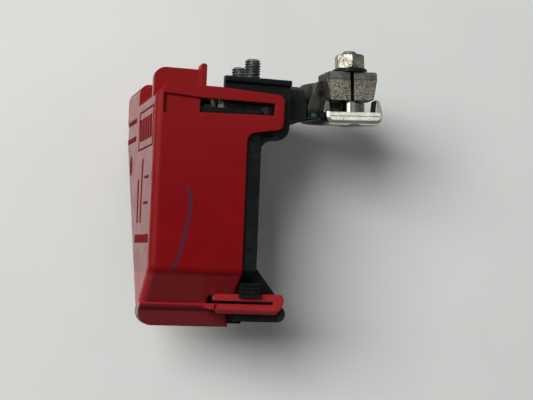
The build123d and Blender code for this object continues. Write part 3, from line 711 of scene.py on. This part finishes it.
def finish_red_moulding():
    """Red cover: satin grained sides, a smoother front face, rubbed edges and a pen stroke."""
    material, tree, shader, vector = start_finish("red_cover", specular=0.06)
    grain = use_group(tree, moulded_grain, vector)
    place = use_group(tree, box_place, vector)
    wear = use_group(tree, edge_wear, vector, Reach=0.8 * MM, Spread=0.46)
    scratch = use_group(tree, scratches, vector, Amount=0.36)
    dirt_and_shade = use_group(tree, corner_dirt_and_shade, vector, Reach=2.0 * MM)
    front = ramp(tree, place["U"], *FRONT_FACE_U)

    colour = tint(tree, grain["Mottle"], (0.172, 0.0030, 0.0046, 1), (0.196, 0.0040, 0.0060, 1))
    colour = coat(tree, colour, wear["Edge"], 0.45, (0.30, 0.040, 0.045, 1))
    colour = coat(tree, colour, scratch["Scratch"], 0.3, (0.30, 0.06, 0.06, 1))
    # Soiling and painted shade in corners and recesses, darker where a place is sheltered.
    colour = coat(tree, colour, dirt_and_shade["Dirt"], 0.55, (0.055, 0.006, 0.006, 1))
    # Painted sheen: the upper part painted greyer, as the pale room's sheen on it.
    colour = tint(tree, ramp(tree, place["W"], *PAINTED_SHEEN_TOP_W), colour, (0.215, 0.0095, 0.0110, 1))
    # Painted light: the downward bevel painted a lighter red.
    colour = tint(tree, ramp(tree, place["W"], *BEVEL_W), colour, (0.305, 0.0195, 0.0230, 1))
    # Painted shade: the toe painted a duller, darker red.
    colour = tint(tree, ramp(tree, place["W"], *TOE_W), colour, (0.126, 0.0142, 0.0162, 1))
    colour = coat(tree, colour, pen_stroke(tree, place, vector), 0.9, (0.040, 0.022, 0.044, 1))
    feed(tree, shader["Base Color"], colour)

    satin = ramp(tree, grain["Mottle"], 0.0, 1.0, 0.47, 0.40)
    rough = plus(tree, satin, times(tree, scratch["Scratch"], 0.15))
    feed(tree, shader["Roughness"], minus(tree, rough, times(tree, wear["Edge"], 0.08)))
    gloss = times(tree, front, ramp(tree, grain["Mottle"], 0.0, 1.0, 0.63, 0.75))
    feed(tree, shader["Coat Weight"], minus(tree, gloss, scratch["Scratch"], clamp=True))
    shader["Coat Roughness"].default_value = 0.24
    height = times(tree, grain["Height"], ramp(tree, front, 0.0, 1.0, 1.0, 0.35))
    feed(tree, shader["Normal"], bump(tree, height, 0.030 * MM, wear["Normal"]))
    return material


def finish_front_marks():
    """Plain marks on the front: the cover's red with a coarse matt texture."""
    material, tree, shader, vector = start_finish("matt_red_marks", specular=0.1)
    grain = use_group(tree, moulded_grain, vector)
    wear = use_group(tree, edge_wear, vector, Reach=0.08 * MM, Spread=0.5)
    coarse = noise(tree, vector, 3000, 2)
    colour = tint(tree, coarse, (0.140, 0.004, 0.007, 1), (0.190, 0.006, 0.010, 1))
    colour = coat(tree, colour, grain["Mottle"], 0.3, (0.200, 0.010, 0.012, 1))
    colour = coat(tree, colour, wear["Edge"], 0.35, (0.30, 0.05, 0.05, 1))
    feed(tree, shader["Base Color"], colour)
    feed(tree, shader["Roughness"], ramp(tree, coarse, 0.3, 0.7, 0.75, 0.95))
    feed(tree, shader["Normal"], bump(tree, coarse, 0.05 * MM, wear["Normal"]))
    return material


def finish_black_moulding():
    """Black glass-filled housing: satin, with grey rubbed edges, dust and fine scratches."""
    material, tree, shader, vector = start_finish("black_housing", specular=0.09)
    grain = use_group(tree, moulded_grain, vector)
    place = use_group(tree, box_place, vector)
    wear = use_group(tree, edge_wear, vector, Reach=0.4 * MM, Spread=0.44)
    scratch = use_group(tree, scratches, vector, Amount=0.45)
    dirt_and_shade = use_group(tree, corner_dirt_and_shade, vector, Reach=2.2 * MM, Sharp=3.0)
    dust = ramp(tree, noise(tree, vector, 130, 6, 0.7), 0.48, 0.72)
    colour = tint(tree, grain["Mottle"], (0.0026, 0.0036, 0.0035, 1), (0.0046, 0.0060, 0.0057, 1))
    colour = tint(tree, ramp(tree, place["U"], *ARM_COLLAR_U), colour, (0.0130, 0.0175, 0.0168, 1))
    colour = coat(tree, colour, dust, 0.22, (0.045, 0.046, 0.040, 1))
    colour = coat(tree, colour, scratch["Scratch"], 0.35, (0.040, 0.043, 0.042, 1))
    colour = coat(tree, colour, wear["Edge"], 0.35, (0.050, 0.054, 0.052, 1))
    # Near black in corners, recesses and the gap along the cover's edge: soiling and painted shade.
    colour = coat(tree, colour, dirt_and_shade["Dirt"], 0.9, (0.0008, 0.0008, 0.0008, 1))
    feed(tree, shader["Base Color"], colour)
    rough = ramp(tree, grain["Mottle"], 0.0, 1.0, 0.52, 0.42)
    feed(tree, shader["Roughness"], plus(tree, rough, times(tree, dust, 0.18)))
    feed(tree, shader["Normal"], bump(tree, grain["Height"], 0.040 * MM, wear["Normal"]))
    return material


def finish_fuse_moulding():
    """Pale heatproof fuse body, yellowed unevenly, and dirty with painted shade in its corners."""
    material, tree, shader, vector = start_finish("pale_fuse_body", specular=0.35)
    grain = use_group(tree, moulded_grain, vector)
    wear = use_group(tree, edge_wear, vector, Reach=0.3 * MM, Spread=0.45)
    dirt_and_shade = use_group(tree, corner_dirt_and_shade, vector, Reach=1.5 * MM)
    colour = tint(tree, grain["Mottle"], (0.40, 0.34, 0.23, 1), (0.52, 0.46, 0.34, 1))
    colour = coat(tree, colour, wear["Edge"], 0.4, (0.62, 0.58, 0.48, 1))
    # Soiling and painted shade in its corners.
    colour = coat(tree, colour, dirt_and_shade["Dirt"], 0.6, (0.10, 0.08, 0.055, 1))
    feed(tree, shader["Base Color"], colour)
    feed(tree, shader["Roughness"], ramp(tree, grain["Mottle"], 0.0, 1.0, 0.58, 0.46))
    feed(tree, shader["Normal"], bump(tree, grain["Height"], 0.03 * MM, wear["Normal"]))
    return material


# ---- Finishes of the metal pieces ---------------------------------------------------------
# Places on the clamp in millimetres, each from a change's start to where it is full. The pocket and
# the verdigris are round patches at a place.
EAR_FRONT_Y = (-21.8, -22.3)
UNDER_SLAB_Z = (13.7, 12.9)
LEFT_EAR_X = (-0.5, -2.5)
# The strap's front, and the part of it low down, are painted dark as shade.
STRAP_FRONT_X, STRAP_FRONT_Y = (-8.6, -9.2), (-8.0, -10.0)
LOW_DOWN_Z = (4.0, 1.6)
SLAB_LINE_Z = 13.5
SLAB_LINE_REACH = (0.35, 0.10)
# The pocket by the left ear is painted near black as shade.
POCKET = (-9.6, -15.4, 8.9)
VERDIGRIS = (-12.6, -14.5, 0.7)
# The bolt is painted black between these heights, as greasy soiling and painted shade inside the
# ears.
GREASE_AND_SHADE_LOW_Z, GREASE_AND_SHADE_HIGH_Z = (5.6, 6.4), (17.4, 16.6)
DULL_ARM_Z = (1.6, 2.6)
DULL_SIDE_X = (-2, 2)


def finish_tinned_casting():
    """Clamp casting: speckled ear fronts under a smooth slab, dull flanks, the strap's front painted
    dark as shade, and painted shade low down and in a pocket by the left ear.
    """
    material, tree, shader, vector = start_finish("tinned_casting_skin", metallic=0.75, specular=0.4)
    skin = use_group(tree, cast_skin, vector)
    wear = use_group(tree, edge_wear, vector, Reach=0.45 * MM, Spread=0.55)
    dirt_and_shade = use_group(tree, corner_dirt_and_shade, vector, Reach=4.0 * MM, Sharp=1.5)
    spots = use_group(tree, plating_spots, vector, Amount=0.45)
    place = axes(tree, vector)
    ear_front = times(tree, ramp_mm(tree, place["Y"], EAR_FRONT_Y),
                      ramp(tree, facing(tree)["Y"], -0.7, -0.95))
    speckled = times(tree, ear_front, ramp_mm(tree, place["Z"], UNDER_SLAB_Z))
    left_ear = ramp_mm(tree, place["X"], LEFT_EAR_X, 0.78, 0.95)
    strap_front = times(tree, ramp_mm(tree, place["Y"], STRAP_FRONT_Y),
                        ramp_mm(tree, place["X"], STRAP_FRONT_X))
    slab_line = ramp_mm(tree, gap(tree, place["Z"], SLAB_LINE_Z * MM), SLAB_LINE_REACH, 0.0, 0.6)
    # Painted shade: low down on the strap's front, and in the pocket by the left ear.
    low_and_pocket_shade = compute(tree, "MAXIMUM", times(tree, strap_front, ramp_mm(tree, place["Z"], LOW_DOWN_Z)),
                    patch(tree, vector, POCKET, 1.8, 3.0))

    colour = tint(tree, spots["Cloud"], (0.070, 0.070, 0.062, 1), (0.140, 0.138, 0.118, 1))
    # Painted shade: the strap's front painted dark.
    colour = coat(tree, colour, strap_front, 0.85, (0.032, 0.033, 0.030, 1))
    pale = compute(tree, "MAXIMUM", times(tree, speckled, left_ear), 0.12)
    colour = coat(tree, colour, skin["Speck"], pale, (0.36, 0.325, 0.240, 1))
    colour = coat(tree, colour, skin["Pit"], 0.8, (0.022, 0.022, 0.019, 1))
    colour = coat(tree, colour, wear["Edge"], 0.4, (0.36, 0.34, 0.28, 1))
    colour = tint(tree, slab_line, colour, (0.022, 0.022, 0.019, 1))
    # Soiling and painted shade in corners and recesses, over a wide reach.
    colour = coat(tree, colour, dirt_and_shade["Dirt"], 0.95, (0.010, 0.010, 0.008, 1))
    # Painted shade, near black, low down and in the pocket.
    colour = coat(tree, colour, low_and_pocket_shade, 0.9, (0.006, 0.006, 0.005, 1))
    verdigris = patch(tree, vector, VERDIGRIS, 1.4, 2.1, 0.85)
    colour = tint(tree, verdigris, colour, (0.050, 0.130, 0.128, 1))
    feed(tree, shader["Base Color"], colour)

    rough = ramp(tree, skin["Height"], 0.3, 0.7, 0.62, 0.46)
    feed(tree, shader["Roughness"], plus(tree, rough, times(tree, dirt_and_shade["Dirt"], 0.25)))
    height = minus(tree, skin["Height"], times(tree, skin["Pit"], 0.6))
    height = times(tree, height, ramp(tree, speckled, 0.0, 1.0, 0.40, 1.0))
    feed(tree, shader["Normal"], bump(tree, height, 0.16 * MM, wear["Normal"]))
    return material


# Plated metals: dull and bright tone, the roughness of each, how spotted they are, and what they
# don't share with the rest.
PLATED = {
    "dark_zinc_studs": dict(dull=(0.090, 0.102, 0.100, 1), bright=(0.190, 0.208, 0.204, 1),
                            rough=(0.42, 0.26), spotted=0.42, edge=(0.50, 0.53, 0.52, 1)),
    "dull_zinc_nuts": dict(dull=(0.055, 0.042, 0.032, 1), bright=(0.130, 0.108, 0.085, 1),
                           rough=(0.50, 0.36), spotted=0.48, edge=(0.30, 0.27, 0.23, 1)),
    "worn_nickel_nut": dict(dull=(0.085, 0.083, 0.066, 1), bright=(0.25, 0.243, 0.197, 1),
                            rough=(0.34, 0.20), spotted=0.80, depth=0.08 * MM,
                            edge=(0.022, 0.021, 0.016, 1), edge_amount=0.95, edge_reach=0.55 * MM),
    "tinned_copper_bar": dict(dull=(0.16, 0.155, 0.130, 1), bright=(0.29, 0.285, 0.250, 1),
                              rough=(0.48, 0.30), spotted=0.45, spot_colour=(0.16, 0.075, 0.035, 1)),
    "fuse_strip": dict(dull=(0.17, 0.155, 0.120, 1), bright=(0.30, 0.275, 0.22, 1),
                       rough=(0.45, 0.32), spotted=0.42),
    # The washer is painted near black: soiling and painted shade.
    "grimy_shaded_washer": dict(dull=(0.006, 0.006, 0.005, 1), bright=(0.018, 0.018, 0.015, 1),
                         rough=(0.55, 0.40), spotted=0.5, edge=(0.10, 0.10, 0.08, 1)),
    "bright_bolt": dict(dull=(0.17, 0.165, 0.145, 1), bright=(0.27, 0.265, 0.24, 1),
                        rough=(0.18, 0.11), spotted=0.30, scratched=0.25, depth=0.006 * MM,
                        edge=(0.40, 0.39, 0.35, 1)),
    "bright_saddle": dict(dull=(0.62, 0.61, 0.56, 1), bright=(0.80, 0.79, 0.74, 1),
                          rough=(0.20, 0.09), spotted=0.42, depth=0.03 * MM),
}


def plated_surface(tree, shader, vector, dull, bright, rough, spotted,
                   spot_colour=(0.05, 0.045, 0.035, 1), scratched=0.4, depth=0.02 * MM,
                   edge=(0.8, 0.79, 0.74, 1), edge_amount=0.5, edge_reach=0.3 * MM):
    """Colour and roughness of a plated metal with spots, scratches, rubbed edges, and soiling with
    painted shade in its corners.
    """
    spots = use_group(tree, plating_spots, vector, Amount=spotted)
    wear = use_group(tree, edge_wear, vector, Reach=edge_reach, Spread=0.5)
    scratch = use_group(tree, scratches, vector, Amount=scratched)
    dirt_and_shade = use_group(tree, corner_dirt_and_shade, vector, Reach=1.6 * MM)
    colour = tint(tree, spots["Cloud"], dull, bright)
    colour = coat(tree, colour, scratch["Scratch"], 0.35, edge)
    colour = coat(tree, colour, wear["Edge"], edge_amount, edge)
    colour = coat(tree, colour, spots["Spot"], 0.85, spot_colour)
    # Soiling and painted shade in corners and recesses.
    colour = coat(tree, colour, dirt_and_shade["Dirt"], 0.7, (0.020, 0.019, 0.016, 1))
    gloss = ramp(tree, spots["Cloud"], 0.0, 1.0, *rough)
    gloss = plus(tree, gloss, times(tree, spots["Spot"], 0.3))
    gloss = plus(tree, gloss, times(tree, dirt_and_shade["Dirt"], 0.25))
    height = minus(tree, noise(tree, vector, 900, 3), times(tree, spots["Spot"], 1.5))
    height = minus(tree, height, times(tree, scratch["Scratch"], 0.4))
    feed(tree, shader["Normal"], bump(tree, height, depth, wear["Normal"]))
    return colour, gloss


def finish_plated(name, soil_or_shade=None):
    """One of the plated metals. Its overlay, where one is given, gives a mask, a colour and what it
    adds to the roughness: on the bolt that is greasy soiling with painted shade.
    """
    material, tree, shader, vector = start_finish(name, metallic=1.0)
    colour, rough = plated_surface(tree, shader, vector, **PLATED[name])
    if soil_or_shade:
        mask, soil_or_shade_colour, dulling = soil_or_shade(tree, vector)
        colour = tint(tree, mask, colour, soil_or_shade_colour)
        rough = plus(tree, rough, times(tree, mask, dulling))
    feed(tree, shader["Base Color"], colour)
    feed(tree, shader["Roughness"], rough)
    return material


def bolt_grease_and_shade(tree, vector):
    """Black where the bolt runs through the ears: old greasy soiling and painted shade."""
    ragged = times(tree, noise(tree, vector, 500, 3), 1.0 * MM)
    height = plus(tree, axes(tree, vector)["Z"], ragged)
    grease_and_shade = times(tree, ramp_mm(tree, height, GREASE_AND_SHADE_LOW_Z),
                   ramp_mm(tree, height, GREASE_AND_SHADE_HIGH_Z, 0.0, 0.95))
    return grease_and_shade, (0.010, 0.009, 0.007, 1), 0.3


def dull_arms(tree, vector):
    """Dull pitted arms where the saddle rubs along the ears, duller on the left."""
    place = axes(tree, vector)
    mottle = noise(tree, vector, 700, 4, 0.65)
    height = plus(tree, place["Z"], times(tree, mottle, 1.6 * MM))
    arms = compute(tree, "MAXIMUM", ramp_mm(tree, height, DULL_ARM_Z),
                   ramp(tree, facing(tree)["X"], -0.55, -0.85))
    arms = times(tree, arms, ramp_mm(tree, place["X"], DULL_SIDE_X, 0.9, 0.6))
    patchy = ramp(tree, mottle, 0.38, 0.62)
    soil_or_shade_colour = tint(tree, patchy, (0.015, 0.013, 0.010, 1), (0.085, 0.075, 0.060, 1))
    return arms, soil_or_shade_colour, 0.22


def dress():
    """Give every carried-over node and every new piece the finish of its slot."""
    finishes = {
        "tinned_casting": finish_tinned_casting(),
        "bright_chrome": finish_plated("bright_saddle", dull_arms),
        "dull_zinc": finish_plated("dull_zinc_nuts"),
        "worn_nickel": finish_plated("worn_nickel_nut"),
        "dark_zinc": finish_plated("dark_zinc_studs"),
        "tinned_copper": finish_plated("tinned_copper_bar"),
        "black_moulding": finish_black_moulding(),
        "red_moulding": finish_red_moulding(),
        "fuse_moulding": finish_fuse_moulding(),
        "fuse_metal": finish_plated("fuse_strip"),
    }
    own = {
        # Near black washer: soiling and painted shade.
        "clamp_washer": finish_plated("grimy_shaded_washer"),
        "clamp_bolt_thread": finish_plated("bright_bolt", bolt_grease_and_shade),
        "front_marks": finish_front_marks(),
    }
    for entry in frame["record"]["subparts"]:
        node = bpy.data.objects[entry["node"]]
        finish = own.get(node.name, finishes[entry["material_slot"]])
        for index in range(len(node.data.materials)):
            node.data.materials[index] = finish
    for piece in bpy.data.objects:
        if piece.type == "MESH" and not piece.data.materials:
            piece.data.materials.append(own.get(piece.name, finishes["dark_zinc"]))


dress()


# ---- Camera -------------------------------------------------------------------------------
CAMERA_PLACE = Vector((-0.14319, -0.40306, -0.04618))
CAMERA_TURN = (92.164, 0.622, -16.04)   # degrees, from looking straight down
FRAME_WIDTH = 533                       # pixels
FOCAL_LENGTH = 1100                     # pixels
SENSOR = 36

camera_data = bpy.data.cameras.new("camera")
camera_data.sensor_width = SENSOR
camera_data.lens = FOCAL_LENGTH / FRAME_WIDTH * SENSOR
camera_data.clip_start = 0.01
camera = bpy.data.objects.new("camera", camera_data)
camera.location = CAMERA_PLACE
camera.rotation_euler = [math.radians(angle) for angle in CAMERA_TURN]
bpy.context.scene.collection.objects.link(camera)
bpy.context.scene.camera = camera

# ---- Table, lamps and world ---------------------------------------------------------------
TABLE_SIZE = 4
TABLE_GAP = 0.4 * MM
TABLE_DARK, TABLE_PALE = (0.69, 0.705, 0.68, 1), (0.76, 0.77, 0.745, 1)
LAMP_AIM = Vector((-0.04, 0, -0.03))

# Lamps: the direction they stand in, how far off, width and height, and level.
LAMPS = {
    "window": ((-0.60, -0.74, 0.34), 3.0, (1.95, 1.30), 1.10),
    "left_card": ((-0.92, -0.30, 0.20), 2.4, (1.40, 1.20), 0.12),
    "ceiling": ((0.1, -0.1, 1.0), 1.0, (0.80, 0.80), 0.25),
    "room_behind": ((0.25, 0.9, 0.35), 1.0, (0.60, 0.60), 0.45),
}
ROOM_LEVEL = 0.09
WALL_TOWARDS = Vector((0.36, -0.92, 0.16)).normalized()


def looked_at(tree):
    """1 for a ray from the camera, or one that gloss or glass sends on from it."""
    rays = tree.nodes.new("ShaderNodeLightPath")
    seen = compute(tree, "MAXIMUM", rays.outputs["Is Camera Ray"], rays.outputs["Is Glossy Ray"])
    return compute(tree, "MAXIMUM", seen, rays.outputs["Is Transmission Ray"])


def choose(tree, mask, off, on, end):
    """Send one of two shaders on to the output node."""
    mix = tree.nodes.new("ShaderNodeMixShader")
    tree.links.new(mask, mix.inputs["Fac"])
    tree.links.new(off.outputs[0], mix.inputs[1])
    tree.links.new(on.outputs[0], mix.inputs[2])
    tree.links.new(mix.outputs[0], tree.nodes[end].inputs["Surface"])


def make_table():
    """Pale table along the part's far side. It takes the shadow and shows in gloss, but from behind
    it is clear, and it lets the soft light of the world through to the far side."""
    deselect_all()
    bpy.ops.mesh.primitive_plane_add(size=TABLE_SIZE, location=(0, cad_box[1][1] + TABLE_GAP, 0),
                                     rotation=(math.pi / 2, 0, 0))
    table = named("table")
    material, tree = new_material("table_top")
    nodes, links = tree.nodes, tree.links
    shader = nodes["Principled BSDF"]
    shader.inputs["Roughness"].default_value = 0.6
    colour = nodes.new("ShaderNodeValToRGB")
    low, high = colour.color_ramp.elements
    low.position, low.color = 0.3, TABLE_DARK
    high.position, high.color = 0.7, TABLE_PALE
    place = nodes.new("ShaderNodeTexCoord").outputs["Object"]
    links.new(noise(tree, place, 9, 6, 0.5), colour.inputs["Fac"])
    links.new(colour.outputs["Color"], shader.inputs["Base Color"])
    behind = nodes.new("ShaderNodeNewGeometry").outputs["Backfacing"]
    front = minus(tree, looked_at(tree), behind, clamp=True)
    choose(tree, front, nodes.new("ShaderNodeBsdfTransparent"), shader, "Material Output")
    table.data.materials.append(material)


def soft_lamp(name, towards, distance, size, level):
    """Lamp of a width and height. Its light on a pale card that faces it comes to the given level."""
    lamp = bpy.data.lights.new(name, "AREA")
    lamp.shape = "RECTANGLE"
    lamp.size, lamp.size_y = size
    lamp.energy = level * math.pi ** 2 * distance ** 2
    holder = bpy.data.objects.new(name, lamp)
    back = Vector(towards).normalized()
    holder.location = LAMP_AIM + back * distance
    holder.rotation_euler = back.to_track_quat("Z", "Y").to_euler()
    bpy.context.scene.collection.objects.link(holder)


def make_world():
    """Even soft light, and a room that gloss sees: grey low down, pale from eye level up, and
    brighter towards a pale wall in front on the right."""
    world = bpy.data.worlds.new("soft_room")
    bpy.context.scene.world = world
    world.use_nodes = True
    tree = world.node_tree
    room = tree.nodes["Background"]
    room.inputs["Color"].default_value = (0.97, 0.985, 1, 1)
    room.inputs["Strength"].default_value = ROOM_LEVEL
    towards = tree.nodes.new("ShaderNodeTexCoord").outputs["Generated"]
    height = ramp(tree, axes(tree, towards)["Z"], -0.45, 0.20)
    wall = ramp(tree, vector_sum(tree, "DOT_PRODUCT", towards, WALL_TOWARDS), 0.90, 0.98)
    colour = tint(tree, height, (0.17, 0.172, 0.165, 1), (0.62, 0.63, 0.61, 1))
    colour = tint(tree, wall, colour, (1.0, 1.0, 0.97, 1))
    seen = tree.nodes.new("ShaderNodeBackground")
    tree.links.new(colour, seen.inputs["Color"])
    choose(tree, looked_at(tree), room, seen, "World Output")


make_table()
for lamp_name, setting in LAMPS.items():
    soft_lamp(lamp_name, *setting)
make_world()

bpy.context.scene.view_settings.view_transform = "Standard"
